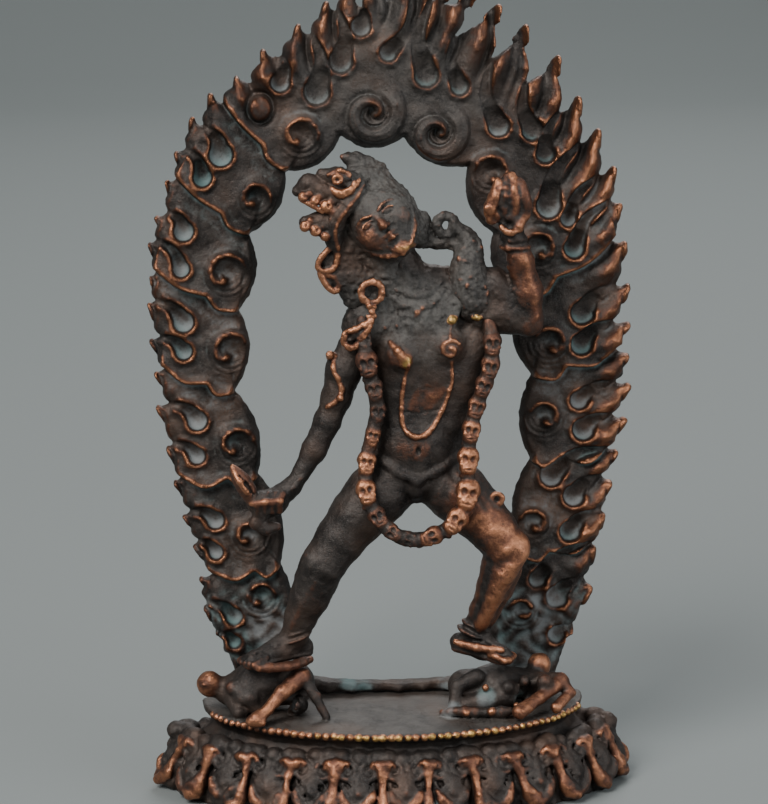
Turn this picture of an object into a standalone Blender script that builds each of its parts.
"""Small cast copper statue of a dancing vajrayogini on a lotus base, before a ring of flames.

Shapes are laid out in millimetres and become metres as each casting is made. The front
faces -Y, +X is the viewer's right, and the base stands on z = 0.
"""

import math

import bmesh
import bpy
from mathutils import Matrix, Vector

MM = 0.001
JOINT_GAP = 0.3

# The lotus base: half a rounded outline in front, nearly straight behind its widest line
BASE_HALF_WIDTH = 33.1
BASE_FRONT_DEPTH = 21.0
BASE_BACK_DEPTH = 5.0
BASE_WIDEST_Y = 7.8
PLATE_HALF_WIDTH = 26.4
PLATE_FRONT_DEPTH = 17.5
PLATE_BACK_DEPTH = 4.2
PLATE_TOP = 11.5
PLATE_THICKNESS = 1.3
WAIST_INSET = 1.1
PETAL_RING_TOP = 8.4
FRONT_PETALS = 13
BACK_PETALS = 9
PETAL_DEPTH = 2.6
RIM_BEADS = 44
BEAD_RADIUS = 0.65

# The figure, laid out on its own scale and stood on the backs of the trampled bodies
FIGURE_HEIGHT = 69.0
FIGURE_LAYOUT_HEIGHT = 69.0
FIGURE_X = -0.5
TRAMPLED_TOP = 18.2
SKULLS_ON_GARLAND = 27
SKULL_RADIUS = 1.25

# The ring of flames
AUREOLE_X = -0.4
AUREOLE_BACK_Y = 11.0
AUREOLE_PLATE = 1.7
AUREOLE_TOP = 113.0
AUREOLE_LAYOUT_TOP = 113.0
FLAMES = 45
FLAME_ROOT_RADIUS = 2.15
FLAME_TIP_RADIUS = 0.45
BAND_INSET = 0.5
BOWL_RADIUS = 1.25
BOWL_RIM_RADIUS = 0.42
SIDE_SCROLL_RADIUS = 2.5
TOP_SCROLL_RADIUS = 3.9
SCROLL_WIRE = 0.85

# How finely each casting is fused, and how many triangles it is thinned to
FUSE_PITCH = 0.32
CUT_SNAP = 0.001
AUREOLE_TRIANGLES = 3500
FIGURE_TRIANGLES = 3300
BASE_TRIANGLES = 2520


def lerp(a, b, t):
    return a + (b - a) * t


def curve_through(knots, t):
    """Point at t (0 to 1) on a smooth curve through knots, which are equally spaced in t."""
    spans = len(knots) - 1
    place = min(max(t, 0.0), 1.0) * spans
    i = min(int(place), spans - 1)
    u = place - i
    p1 = Vector(knots[i])
    p2 = Vector(knots[i + 1])
    p0 = Vector(knots[i - 1]) if i else 2 * p1 - p2
    p3 = Vector(knots[i + 2]) if i + 2 <= spans else 2 * p2 - p1
    a = 2 * p1
    b = (p2 - p0) * u
    c = (2 * p0 - 5 * p1 + 4 * p2 - p3) * u ** 2
    d = (3 * p1 - p0 - 3 * p2 + p3) * u ** 3
    return (a + b + c + d) / 2


def evenly_along(knots, count, samples=600):
    """Places (t values) of count points equally spaced in length along curve_through(knots)."""
    points = [curve_through(knots, k / samples) for k in range(samples + 1)]
    run = [0.0]
    for a, b in zip(points, points[1:]):
        run.append(run[-1] + (b - a).length)
    places = []
    k = 0
    for n in range(count):
        goal = run[-1] * n / (count - 1)
        while k < samples and run[k] < goal:
            k += 1
        places.append(k / samples)
    return places


def value_at(table, t):
    """Value at t on a table of (t, value) pairs, with straight runs between them."""
    for (t0, v0), (t1, v1) in zip(table, table[1:]):
        if t <= t1:
            return lerp(v0, v1, max(t - t0, 0.0) / (t1 - t0))
    return table[-1][1]


def ball(bm, centre, radii, turn=None, subdivisions=2):
    """Adds an ellipsoid; radii is one number or three, turn is a rotation matrix."""
    if not hasattr(radii, "__len__"):
        radii = (radii, radii, radii)
    place = Matrix.Translation(Vector(centre))
    if turn is not None:
        place = place @ turn.to_4x4()
    place = place @ Matrix.Diagonal((*radii, 1.0))
    bmesh.ops.create_icosphere(bm, subdivisions=subdivisions, radius=1.0, matrix=place)


def limb(bm, points, radii, flat_about_y=None, flatness=1.0, sides=12):
    """Adds a rounded tapered tube; flatness squeezes it towards the plane y = flat_about_y."""
    first = len(bm.verts)
    points = [Vector(p) for p in points]
    for point, radius in zip(points, radii):
        bmesh.ops.create_icosphere(
            bm, subdivisions=2, radius=radius, matrix=Matrix.Translation(point)
        )
    for a, b, ra, rb in zip(points, points[1:], radii, radii[1:]):
        along = b - a
        place = Matrix.Translation((a + b) / 2) @ along.to_track_quat("Z", "Y").to_matrix().to_4x4()
        bmesh.ops.create_cone(
            bm, cap_ends=True, segments=sides, radius1=ra, radius2=rb,
            depth=along.length, matrix=place,
        )
    if flat_about_y is not None:
        bm.verts.ensure_lookup_table()
        for vert in bm.verts[first:]:
            vert.co.y = flat_about_y + (vert.co.y - flat_about_y) * flatness


def spiral(centre, radius, turns, start, hand, wire_y, steps=14):
    """Points of a flat scroll that winds in from radius to its centre, in the plane y = wire_y."""
    points = []
    for k in range(steps + 1):
        t = k / steps
        angle = start + hand * turns * 2 * math.pi * t
        reach = radius * (1 - 0.9 * t)
        x = centre[0] + reach * math.cos(angle)
        z = centre[1] + reach * math.sin(angle)
        points.append((x, wire_y, z))
    return points


def cast(name, bm, triangles, cuts):
    """Fuses overlapping solids into one skin, thins it, cuts it flat and makes the object.

    Each cut is (a point of the plane, the side that is taken away), in millimetres.
    """
    bmesh.ops.scale(bm, vec=(MM, MM, MM), verts=bm.verts)
    mesh = bpy.data.meshes.new(name)
    bm.to_mesh(mesh)
    bm.free()
    thing = bpy.data.objects.new(name, mesh)
    bpy.context.collection.objects.link(thing)

    fuse = thing.modifiers.new("Fuse", "REMESH")
    fuse.mode = "VOXEL"
    fuse.voxel_size = FUSE_PITCH * MM
    fused = evaluated_mesh(thing)
    thin = thing.modifiers.new("Thin", "DECIMATE")
    thin.ratio = triangles / (2 * len(fused.polygons))
    thin.use_collapse_triangulate = True
    bpy.data.meshes.remove(fused)

    skin = bmesh.new()
    skin.from_mesh(evaluated_mesh(thing))
    keep_largest_shell(skin)
    for point, away in cuts:
        cut_flat(skin, Vector(point) * MM, Vector(away))
    bmesh.ops.triangulate(skin, faces=skin.faces)
    bmesh.ops.recalc_face_normals(skin, faces=skin.faces)
    thing.modifiers.clear()
    skin.to_mesh(mesh)
    skin.free()
    mesh.shade_smooth()
    mesh.set_sharp_from_angle(angle=math.radians(50))
    return thing


def evaluated_mesh(thing):
    graph = bpy.context.evaluated_depsgraph_get()
    return bpy.data.meshes.new_from_object(thing.evaluated_get(graph))


def keep_largest_shell(bm):
    """Deletes every loose shell but the largest one."""
    seen = set()
    shells = []
    for vert in bm.verts:
        if vert in seen:
            continue
        shell = []
        stack = [vert]
        seen.add(vert)
        while stack:
            v = stack.pop()
            shell.append(v)
            for edge in v.link_edges:
                other = edge.other_vert(v)
                if other not in seen:
                    seen.add(other)
                    stack.append(other)
        shells.append(shell)
    shells.sort(key=len)
    for shell in shells[:-1]:
        bmesh.ops.delete(bm, geom=shell, context="VERTS")


def cut_flat(bm, point, away):
    """Cuts off what lies on the away side of a plane and closes the cut with flat faces."""
    geom = bm.verts[:] + bm.edges[:] + bm.faces[:]
    bmesh.ops.bisect_plane(
        bm, geom=geom, dist=CUT_SNAP * MM, plane_co=point, plane_no=away, clear_outer=True
    )
    rim = [edge for edge in bm.edges if edge.is_boundary]
    bmesh.ops.holes_fill(bm, edges=rim, sides=0)


def material(thing, name, colour, roughness):
    """Gives an object its own metal."""
    stuff = bpy.data.materials.new(name)
    stuff.use_nodes = True
    shader = stuff.node_tree.nodes["Principled BSDF"]
    shader.inputs["Base Color"].default_value = (*colour, 1.0)
    shader.inputs["Metallic"].default_value = 0.9
    shader.inputs["Roughness"].default_value = roughness
    thing.data.materials.append(stuff)


# The lotus base


def plan(angle, half_width, front, back):
    """Point of the base's outline in plan: half an ellipse in front, flatter behind."""
    x = half_width * math.cos(angle)
    across = abs(math.sin(angle))
    if math.sin(angle) < 0:
        return Vector((x, BASE_WIDEST_Y - front * across))
    return Vector((x, BASE_WIDEST_Y + back * min(1.0, 1.35 * across)))


def plan_between(angle, share, inset=0.0):
    """Outline part of the way from the base's foot (share 0) to the plate's edge (share 1)."""
    half_width = lerp(BASE_HALF_WIDTH - PETAL_DEPTH * 0.5, PLATE_HALF_WIDTH, share)
    front = lerp(BASE_FRONT_DEPTH - PETAL_DEPTH * 0.5, PLATE_FRONT_DEPTH, share)
    back = lerp(BASE_BACK_DEPTH - 0.8, PLATE_BACK_DEPTH, share)
    return plan(angle, half_width - inset, front - inset, back - inset)


def base_core(bm):
    """Adds the plinth without its petals: foot, shoulder, waist and plate."""
    levels = (
        (-0.6, 0.0, 0.6),
        (2.6, 0.0, 0.4),
        (5.6, 0.25, 0.3),
        (PETAL_RING_TOP - 0.8, 0.6, 0.2),
        (PETAL_RING_TOP, 0.95, WAIST_INSET),
        (PLATE_TOP - PLATE_THICKNESS - 0.2, 1.0, WAIST_INSET),
        (PLATE_TOP - PLATE_THICKNESS, 1.0, 0.1),
        (PLATE_TOP - 0.25, 1.0, 0.0),
        (PLATE_TOP, 1.0, 0.5),
    )
    columns = 96
    rings = []
    for z, share, inset in levels:
        ring = []
        for k in range(columns):
            spot = plan_between(2 * math.pi * k / columns, share, inset)
            ring.append(bm.verts.new((spot.x, spot.y, z)))
        rings.append(ring)
    for low, high in zip(rings, rings[1:]):
        bmesh.ops.bridge_loops(
            bm, edges=loop_edges(bm, low) + loop_edges(bm, high)
        )
    bm.faces.new(list(reversed(rings[0])))
    bm.faces.new(rings[-1])
    bmesh.ops.recalc_face_normals(bm, faces=bm.faces)


def loop_edges(bm, ring):
    """The closed run of edges through a ring of vertices."""
    edges = []
    for a, b in zip(ring, ring[1:] + ring[:1]):
        edges.append(bm.edges.get((a, b)) or bm.edges.new((a, b)))
    return edges


def plan_stations(start, end, count, share):
    """Angles of count places equally spaced along part of the outline."""
    samples = 400
    angles = [lerp(start, end, k / samples) for k in range(samples + 1)]
    run = [0.0]
    for a, b in zip(angles, angles[1:]):
        step = plan_between(b, share) - plan_between(a, share)
        run.append(run[-1] + step.length)
    stations = []
    for n in range(count):
        goal = run[-1] * (n + 0.5) / count
        k = next(i for i, length in enumerate(run) if length >= goal)
        stations.append(angles[k])
    return stations


def petal_frame(angle, share):
    """Point on the outline and the outward direction there."""
    spot = plan_between(angle, share)
    ahead = plan_between(angle + 0.02, share) - plan_between(angle - 0.02, share)
    ahead.normalize()
    return spot, Vector((ahead.y, -ahead.x)), ahead


def petal(bm, angle, pitch, plain):
    """Adds one lotus petal: a rounded lobe, a scroll on its shoulder and a lip below."""
    spot, out, ahead = petal_frame(angle, 0.0)
    turn = Matrix.Rotation(math.atan2(out.y, out.x), 3, "Z") @ Matrix.Rotation(-0.5, 3, "Y")
    middle = spot - out * 1.7
    ball(bm, (middle.x, middle.y, 4.2), (2.3, pitch * 0.50, 3.8), turn)
    lip = spot - out * 0.2
    side = ahead * pitch * 0.34
    low = 1.1
    limb(
        bm,
        [(lip.x - side.x, lip.y - side.y, low + 0.9), (lip.x + out.x * 0.4, lip.y + out.y * 0.4, low),
         (lip.x + side.x, lip.y + side.y, low + 0.9)],
        (0.75, 1.0, 0.75),
    )
    if plain:
        return
    shoulder = spot - out * 1.6
    hand = 1 if spot.x > 0 else -1
    points = []
    for k in range(9):
        turn_by = hand * (k / 8) * 1.5 * math.pi
        reach = 1.35 * (1 - 0.06 * k)
        along = math.cos(turn_by) * reach
        up = math.sin(abs(turn_by)) * reach
        points.append(
            (shoulder.x + ahead.x * along + out.x * (0.5 - 0.35 * up),
             shoulder.y + ahead.y * along + out.y * (0.5 - 0.35 * up),
             6.7 + up * 0.9)
        )
    limb(bm, points, [0.6] * len(points), sides=8)


def tongue(bm, angle):
    """Adds the forked ridge that fills the notch between two petals."""
    spot, out, ahead = petal_frame(angle, 0.0)
    top = spot - out * 1.7
    foot = spot + out * 0.5
    limb(
        bm,
        [(top.x, top.y, 7.0), (lerp(top.x, foot.x, 0.6), lerp(top.y, foot.y, 0.6), 4.6),
         (foot.x, foot.y, 0.7)],
        (1.05, 0.7, 1.0),
    )
    for way in (-1, 1):
        limb(
            bm,
            [(top.x, top.y, 6.9), (top.x + ahead.x * 1.7 * way, top.y + ahead.y * 1.7 * way, 7.9)],
            (0.8, 0.5),
        )


def rim_beads(bm):
    """Adds the string of beads along the front of the plate's edge."""
    for angle in plan_stations(math.pi + 0.30, 2 * math.pi - 0.30, RIM_BEADS, 1.0):
        spot = plan_between(angle, 1.0, 0.1)
        ball(bm, (spot.x, spot.y, PLATE_TOP - 0.55), BEAD_RADIUS, subdivisions=1)


def trampled_bodies(bm):
    """Adds the two small prone bodies that the feet stand on."""
    left = FIGURE_X
    ball(bm, (left - 25.0, 3.0, 15.2), 1.8)
    limb(bm, [(left - 22.4, 3.2, 14.2), (left - 18.8, 2.2, 15.3), (left - 13.6, 2.6, 15.2)], (2.0, 3.3, 3.2))
    limb(bm, [(left - 14.2, 1.2, 16.0), (left - 12.6, -0.8, 17.0)], (2.0, 1.4))
    limb(bm, [(left - 12.6, -0.8, 17.3), (left - 15.6, -2.8, 15.6), (left - 18.3, -4.6, 12.8)], (1.3, 1.1, 0.9))
    limb(bm, [(left - 12.6, -0.8, 17.0), (left - 9.8, -2.6, 12.2)], (0.95, 0.7))
    limb(bm, [(left - 22.4, 2.4, 14.0), (left - 21.2, -1.8, 12.4)], (1.2, 0.8))

    ball(bm, (left + 20.6, 4.6, 16.4), 1.65)
    limb(bm, [(left + 19.4, 3.4, 14.2), (left + 14.6, 1.4, 15.2), (left + 9.6, 1.2, 15.4)], (2.2, 3.0, 3.0))
    limb(bm, [(left + 14.6, -0.6, 13.6), (left + 8.8, -1.2, 12.4)], (2.2, 1.6))
    limb(bm, [(left + 18.6, 2.2, 14.4), (left + 22.9, 0.2, 15.6)], (1.8, 1.25))
    limb(bm, [(left + 22.9, 0.2, 15.5), (left + 16.8, -5.6, 12.8)], (1.2, 1.0))
    limb(bm, [(left + 22.9, 0.2, 15.5), (left + 24.0, -0.6, 13.8), (left + 21.8, -2.8, 12.4)], (1.1, 0.8, 0.8))
    limb(bm, [(left + 8.2, -3.4, 11.7), (left + 15.0, -4.2, 11.9)], (0.6, 0.8))


def lotus_base():
    bm = bmesh.new()
    base_core(bm)
    front = plan_stations(math.pi, 2 * math.pi, FRONT_PETALS, 0.0)
    back = plan_stations(0.0, math.pi, BACK_PETALS, 0.0)
    pitch = (plan_between(front[7], 0.0) - plan_between(front[6], 0.0)).length
    for angle in front:
        petal(bm, angle, pitch, plain=False)
    for angle in back:
        petal(bm, angle, pitch, plain=True)
    for angle in [(a + b) / 2 for a, b in zip(front, front[1:])]:
        tongue(bm, angle)
    rim_beads(bm)
    trampled_bodies(bm)
    cuts = (((0, 0, 0), (0, 0, -1)), ((0, 0, TRAMPLED_TOP), (0, 0, 1)))
    thing = cast("lotus_base", bm, BASE_TRIANGLES, cuts)
    material(thing, "base_copper", (0.11, 0.075, 0.06), 0.55)
    return thing


# The figure, in its own layout: z from the soles, x from the middle of the base's front


def torso(bm):
    lean = Matrix.Rotation(math.radians(14), 3, "Y").transposed()
    ball(bm, (3.3, 2.1, 26.2), (6.3, 4.2, 4.4))
    ball(bm, (3.4, 1.4, 30.2), (5.9, 3.8, 5.0))
    ball(bm, (3.6, 1.2, 34.8), (6.3, 3.4, 6.0))
    ball(bm, (4.3, 1.4, 41.0), (7.7, 4.0, 7.2), lean)
    ball(bm, (4.1, 1.8, 46.8), (8.4, 3.5, 3.7), lean)
    for x, z in ((0.9, 43.1), (7.3, 44.9)):
        ball(bm, (x, -1.9, z), (2.5, 2.3, 2.6))
        ball(bm, (x - 0.1, -4.0, z - 0.5), 0.62, subdivisions=1)
    limb(bm, [(3.2, 2.2, 48.5), (0.8, 1.8, 55.5)], (3.3, 2.6))


def arms(bm):
    limb(bm, [(-3.8, 1.8, 45.0), (-8.6, 1.2, 33.6), (-13.4, 0.4, 25.2)], (2.6, 1.9, 1.25))
    ball(bm, (-4.2, 1.9, 45.4), (2.7, 2.5, 2.8))
    limb(bm, [(-13.2, 0.4, 25.2), (-16.0, -0.4, 22.9), (-18.4, -1.2, 22.4)], (1.3, 1.6, 1.2))
    limb(bm, [(-14.2, 0.2, 26.6), (-12.6, 0.4, 24.0)], (1.1, 1.1))
    limb(bm, [(11.4, 1.8, 49.6), (15.2, 1.2, 48.6), (18.3, 0.4, 47.2)], (3.4, 2.9, 2.1))
    limb(bm, [(18.3, 0.2, 47.2), (17.6, -0.2, 51.6), (15.9, -0.6, 57.6)], (2.1, 2.15, 1.7))
    limb(bm, [(15.9, -0.6, 57.6), (15.4, -0.6, 61.5)], (1.7, 1.7))


def legs(bm):
    limb(bm, [(0.2, 2.0, 25.8), (-4.6, 1.0, 20.6), (-8.8, 0.0, 14.9)], (4.7, 4.3, 3.4))
    limb(bm, [(-8.8, 0.2, 14.9), (-11.0, 0.8, 10.4), (-13.3, 1.4, 3.8)], (3.3, 2.8, 1.95))
    limb(bm, [(6.6, 2.0, 25.6), (11.2, 0.4, 20.8), (15.6, -1.6, 16.4)], (4.5, 4.0, 3.3))
    limb(bm, [(15.4, -1.4, 15.8), (13.9, -0.2, 10.8), (10.9, 1.2, 4.2)], (3.2, 2.9, 1.8))
    limb(bm, [(-11.9, 2.6, 1.6), (-15.6, 0.6, 1.9), (-19.6, -2.0, 1.2), (-21.6, -3.0, 0.9)], (1.8, 1.9, 1.3, 0.9))
    limb(bm, [(9.0, 2.8, 1.7), (12.4, 0.6, 1.7), (15.8, -2.6, 1.0)], (1.7, 1.8, 1.2))


def head(bm):
    """Adds the head, tilted towards its right shoulder, with hair hood, mane and crown."""
    tilt = Matrix.Rotation(math.radians(-36), 3, "Y") @ Matrix.Rotation(math.radians(-14), 3, "X")
    ball(bm, (-1.5, 0.4, 60.9), (4.5, 4.7, 5.4), tilt)
    ball(bm, (0.5, -1.5, 58.4), (2.9, 2.4, 2.6), tilt)
    limb(bm, [(-2.0, -4.0, 61.4), (-0.9, -4.5, 60.0)], (0.5, 0.7), sides=8)
    ball(bm, (-1.2, 2.2, 61.6), (5.0, 4.2, 5.2), tilt)
    limb(bm, [(-1.6, 3.4, 65.4), (-3.2, 2.8, 67.2), (-5.4, 2.2, 67.6)], (2.6, 1.5, 0.8))
    limb(bm, [(1.0, 3.2, 61.2), (3.6, 3.2, 58.8), (4.8, 3.0, 57.2)], (2.8, 1.8, 1.2))
    limb(bm, [(-2.2, 2.8, 60.0), (-0.6, 3.2, 53.6), (0.8, 3.2, 46.0)], (4.0, 3.7, 3.2))
    limb(bm, [(1.8, 3.2, 54.0), (5.2, 3.2, 51.2), (6.4, 3.2, 46.0)], (2.9, 3.2, 3.2))


def crown(bm):
    band = [(-4.6, -0.4, 66.2), (-6.9, -2.0, 62.8), (-7.8, -2.2, 60.0), (-7.3, -1.0, 57.6)]
    limb(bm, band, [0.85] * 4, sides=8)
    for root, tip in (
        ((-5.6, -1.0, 65.6), (-9.6, -1.2, 67.0)),
        ((-7.0, -1.4, 63.2), (-11.9, -1.4, 64.4)),
        ((-7.4, -1.4, 60.2), (-11.7, -1.2, 60.2)),
    ):
        middle = [lerp(a, b, 0.55) for a, b in zip(root, tip)]
        limb(bm, [root, middle, tip], (1.2, 1.35, 0.8))
    limb(bm, [(-7.2, -0.6, 57.8), (-9.2, -0.8, 56.4), (-9.4, -0.8, 54.6), (-7.4, -0.4, 53.6)], [0.75] * 4)
    limb(bm, [(-9.3, -0.8, 54.6), (-8.0, -0.6, 52.0), (-6.2, 0.4, 52.6)], (0.8, 1.0, 0.9))
    limb(bm, [(-6.6, 0.6, 57.0), (-6.8, 0.8, 53.2), (-4.4, 1.8, 50.4)], (1.5, 1.7, 1.6))


def ring(bm, centre, radius, wire, points=12):
    """Adds a ring that faces the front."""
    path = []
    for k in range(points + 1):
        angle = 2 * math.pi * k / points
        path.append(
            (centre[0] + radius * math.cos(angle), centre[1], centre[2] + radius * math.sin(angle))
        )
    limb(bm, path, [wire] * len(path), sides=8)


def jewels(bm):
    ring(bm, (-3.0, -0.9, 51.5), 1.45, 0.5)
    limb(bm, [(-3.1, -1.0, 49.8), (-3.2, -1.4, 47.6), (-5.6, -1.6, 44.8)], (0.65, 0.9, 0.9))
    ring(bm, (7.1, 2.3, 59.4), 1.4, 0.75)
    limb(bm, [(9.3, 2.2, 58.3), (10.6, 1.4, 54.2), (10.8, 0.6, 49.0)], (1.3, 1.9, 2.5))
    for x in (7.6, 11.0):
        ball(bm, (x, -2.5, 47.6), 0.62, subdivisions=1)
    necklace = [(1.0, -4.0, 42.0), (0.4, -3.2, 38.2), (1.4, -2.9, 34.8), (4.2, -2.9, 34.0),
                (6.6, -2.8, 36.6), (7.4, -3.4, 41.0), (7.4, -3.9, 44.0)]
    limb(bm, necklace, [0.4] * len(necklace), sides=8)
    ring(bm, (-6.9, 1.2, 41.2), 2.05, 0.55)
    limb(bm, [(13.0, 0.2, 22.8), (14.6, -1.4, 22.2)], (1.2, 0.7))
    for low, high, radius in (
        ((-13.6, 1.4, 4.0), (-13.0, 1.4, 4.6), 2.2),
        ((10.8, 1.3, 4.0), (11.1, 1.2, 4.6), 2.1),
        ((16.0, -0.5, 57.0), (15.7, -0.6, 57.8), 1.9),
        ((8.0, 1.0, 24.0), (8.2, 1.0, 24.6), 2.0),
    ):
        limb(bm, [low, high], (radius, radius))


def skull_cup(bm):
    ball(bm, (15.2, -0.6, 63.6), (2.9, 2.7, 3.1))
    for k in range(4):
        x = 13.3 + 1.25 * k
        limb(bm, [(x, -2.6, 61.6), (x + 0.2, -3.0, 64.2), (lerp(x, 15.2, 0.5), -1.4, 66.4)], (0.65, 0.7, 0.55), sides=8)


def flaying_knife(bm):
    limb(bm, [(-17.4, -1.4, 21.8), (-19.2, -1.6, 24.2), (-20.4, -1.4, 27.2)], (1.0, 0.9, 0.6))
    limb(bm, [(-18.4, -1.4, 22.4), (-20.8, -1.4, 23.4), (-21.0, -1.2, 26.2)], (0.8, 0.65, 0.45))
    limb(bm, [(-17.6, -1.4, 21.6), (-19.6, -1.4, 19.6), (-16.0, -1.2, 18.8)], (0.9, 0.8, 0.7))


def garland(bm):
    """Adds the long garland of skulls, which hangs free below the hips."""
    route = [
        (-4.0, -1.5, 46.0), (-3.5, -1.6, 40.6), (-2.9, -1.5, 35.4), (-3.7, -2.0, 30.4),
        (-3.9, -3.4, 25.2), (-2.4, -4.6, 20.6), (1.4, -5.2, 17.6), (5.4, -5.2, 17.7),
        (8.6, -4.6, 20.8), (9.8, -3.2, 26.2), (10.0, -1.9, 32.4), (11.0, -1.5, 37.8),
        (12.0, -1.4, 42.4), (12.2, -1.4, 46.4),
    ]
    for k, place in enumerate(evenly_along(route, SKULLS_ON_GARLAND)):
        spot = curve_through(route, place)
        ahead = curve_through(route, min(place + 0.01, 1.0)) - curve_through(route, max(place - 0.01, 0.0))
        turn = Vector((ahead.x, 0, ahead.z)).to_track_quat("Z", "Y").to_matrix()
        ball(bm, spot, (SKULL_RADIUS, SKULL_RADIUS, SKULL_RADIUS * 1.3), turn)
    limb(bm, [curve_through(route, k / 40) for k in range(41)], [0.62] * 41, sides=8)


def vajrayogini_figure():
    bm = bmesh.new()
    for build in (torso, arms, legs, head, crown, jewels, skull_cup, flaying_knife, garland):
        build(bm)
    share = FIGURE_HEIGHT / FIGURE_LAYOUT_HEIGHT
    sole = TRAMPLED_TOP + JOINT_GAP
    bmesh.ops.scale(bm, vec=(share, share, share), verts=bm.verts)
    bmesh.ops.translate(bm, vec=(FIGURE_X, 0, sole), verts=bm.verts)
    thing = cast("vajrayogini_figure", bm, FIGURE_TRIANGLES, (((0, 0, sole), (0, 0, -1)),))
    material(thing, "figure_copper", (0.19, 0.105, 0.075), 0.5)
    return thing


# The ring of flames, in its own layout: x from the ring's middle, z from the table

TIP_LINE = (
    (-23.0, 19.0), (-26.4, 31.0), (-30.4, 46.5), (-32.5, 62.0), (-32.2, 75.0), (-28.6, 87.6),
    (-20.4, 97.6), (-8.8, 106.4), (1.0, 112.6), (13.4, 107.6), (22.6, 100.0), (29.4, 89.8),
    (32.6, 76.0), (33.6, 61.0), (32.6, 47.0), (29.6, 32.0), (25.6, 18.0),
)
BAND_LINE = (
    (-17.9, 12.0, 3.6), (-19.0, 26.0, 4.5), (-22.2, 42.0, 4.9), (-25.2, 60.0, 5.1),
    (-24.6, 75.0, 5.5), (-20.4, 86.6, 6.2), (-11.0, 94.6, 6.4), (0.0, 97.2, 7.3),
    (10.6, 95.4, 7.4), (18.4, 88.6, 7.4), (22.8, 78.5, 7.2), (25.0, 62.5, 6.3),
    (25.4, 48.0, 5.3), (23.0, 34.0, 5.2), (19.6, 12.0, 4.5),
)
SCROLLS = (
    (-18.6, 25.7), (-18.5, 36.4), (-20.6, 47.7), (-22.4, 59.6), (-21.6, 70.6), (-18.6, 80.4),
    (-12.0, 88.4), (-1.9, 93.0), (7.4, 90.9), (15.9, 83.4), (20.4, 73.2), (22.2, 61.6),
    (21.7, 50.6), (20.0, 40.2), (18.6, 30.2), (18.3, 20.6),
)
TOP_SCROLLS = (7, 8)
FLAME_ANGLES = (
    (0.0, 145), (0.15, 142), (0.33, 136), (0.43, 110), (0.48, 92), (0.52, 78), (0.56, 66),
    (0.66, 54), (0.85, 39), (1.0, 36),
)
FLAME_LENGTHS = (
    (0.0, 6.5), (0.12, 8.5), (0.34, 9.5), (0.46, 13.0), (0.58, 13.5), (0.7, 10.5), (0.88, 8.5), (1.0, 6.5),
)
FLAME_BENDS = ((0.0, -6), (0.4, -6), (0.5, 4), (0.6, 16), (1.0, 14))


def in_ring(point, y):
    return (point[0] + AUREOLE_X, y, point[1] * AUREOLE_TOP / AUREOLE_LAYOUT_TOP)


def aureole_band(bm):
    """Adds the flat band that carries flames and scrolls, and the bar that closes it below."""
    middle_y = AUREOLE_BACK_Y - AUREOLE_PLATE / 2
    count = 44
    points = []
    radii = []
    for k in range(count + 1):
        x, z, half_width = curve_through(BAND_LINE, k / count)
        points.append(in_ring((x, z), middle_y))
        radii.append(half_width - BAND_INSET)
    limb(bm, points, radii, flat_about_y=middle_y, flatness=0.24, sides=16)
    bar_top = PLATE_TOP + 1.4
    bar = [(-19.0, bar_top + 3.4), (-13.4, bar_top + 1.4), (-6.0, bar_top - 0.6), (0.0, bar_top - 0.9),
           (6.4, bar_top - 0.6), (13.0, bar_top + 1.2), (19.6, bar_top + 3.2)]
    limb(bm, [in_ring(p, middle_y) for p in bar], (2.0, 1.3, 0.95, 0.9, 0.95, 1.3, 2.0))


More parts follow.
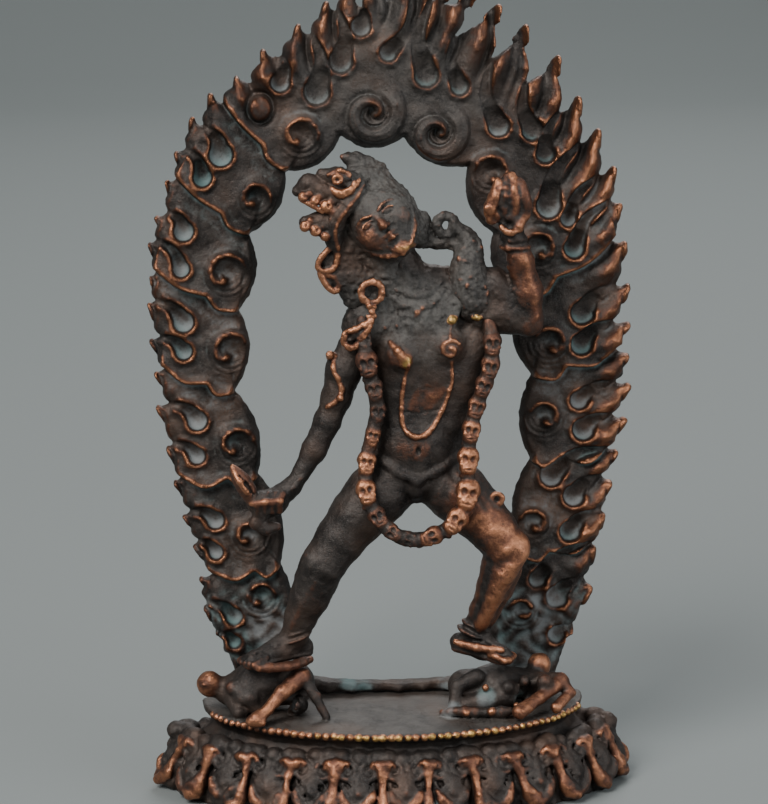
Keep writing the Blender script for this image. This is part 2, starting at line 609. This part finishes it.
def flame(bm, t):
    """Adds one flame: a leaf that sweeps from its tear-shaped bowl out to its tip."""
    tip = curve_through(TIP_LINE, t)
    length = value_at(FLAME_LENGTHS, t)
    angle = math.radians(value_at(FLAME_ANGLES, t))
    bend = math.radians(value_at(FLAME_BENDS, t))
    front_y = AUREOLE_BACK_Y - AUREOLE_PLATE - 0.15
    points = []
    radii = []
    spot = Vector(tip)
    steps = 5
    for k in range(steps + 1):
        share = k / steps
        points.append(in_ring(spot, front_y))
        radii.append(lerp(FLAME_TIP_RADIUS, FLAME_ROOT_RADIUS, min(1.0, share * 1.5) ** 0.8))
        heading = angle + bend * (1 - 2 * share)
        spot = spot - Vector((math.cos(heading), math.sin(heading))) * (length / steps)
    limb(bm, points, radii, flat_about_y=front_y + 0.3, flatness=0.62, sides=10)
    inward = 1 if math.cos(angle) > 0 else -1
    root = Vector(tip) - Vector((math.cos(angle), math.sin(angle))) * length * 0.86
    centre = root + Vector((-math.sin(angle) * inward, math.cos(angle) * inward)) * FLAME_ROOT_RADIUS * 0.9
    bowl = []
    for k in range(9):
        turn = angle + math.pi * (0.42 + 1.16 * k / 8)
        bowl.append(
            in_ring((centre.x + BOWL_RADIUS * math.cos(turn), centre.y + BOWL_RADIUS * math.sin(turn)),
                    front_y - 0.75)
        )
    limb(bm, bowl, [BOWL_RIM_RADIUS] * len(bowl), sides=8)


def lobe(bm, index, spot):
    """Adds one rounded lobe of the band's inner edge, with its scroll."""
    top = index in TOP_SCROLLS
    radius = TOP_SCROLL_RADIUS if top else SIDE_SCROLL_RADIUS
    hand = 1 if spot[0] < 0 else -1
    body = radius + (0.9 if top else 2.4)
    middle_y = AUREOLE_BACK_Y - AUREOLE_PLATE * 0.62
    ball(bm, in_ring((spot[0] - hand * (0.0 if top else 0.7), spot[1]), middle_y), (body, 1.5, body * 1.08))
    start = math.pi / 2 - hand * 0.2
    wire_y = AUREOLE_BACK_Y - AUREOLE_PLATE - 0.85
    points = [in_ring((p[0], p[2]), p[1]) for p in spiral(spot, radius, 1.25, start, -hand, wire_y)]
    radii = [lerp(SCROLL_WIRE, SCROLL_WIRE * 0.8, k / len(points)) for k in range(len(points))]
    limb(bm, points, radii, sides=8)


def flame_aureole():
    bm = bmesh.new()
    aureole_band(bm)
    for index, spot in enumerate(SCROLLS):
        lobe(bm, index, spot)
    for place in evenly_along(TIP_LINE, FLAMES):
        flame(bm, place)
    foot = PLATE_TOP + JOINT_GAP
    cuts = (((0, 0, foot), (0, 0, -1)), ((0, AUREOLE_BACK_Y, 0), (0, 1, 0)))
    thing = cast("flame_aureole", bm, AUREOLE_TRIANGLES, cuts)
    material(thing, "aureole_copper", (0.13, 0.085, 0.065), 0.55)
    return thing


def centre_over_origin(things):
    """Moves the castings together so that the middle of their box stands over the origin."""
    corners = [thing.matrix_world @ vert.co for thing in things for vert in thing.data.vertices]
    middle_x = (min(c.x for c in corners) + max(c.x for c in corners)) / 2
    middle_y = (min(c.y for c in corners) + max(c.y for c in corners)) / 2
    for thing in things:
        thing.location = (-middle_x, -middle_y, 0.0)


def main():
    for thing in list(bpy.data.objects):
        bpy.data.objects.remove(thing)
    centre_over_origin([lotus_base(), vajrayogini_figure(), flame_aureole()])


main()
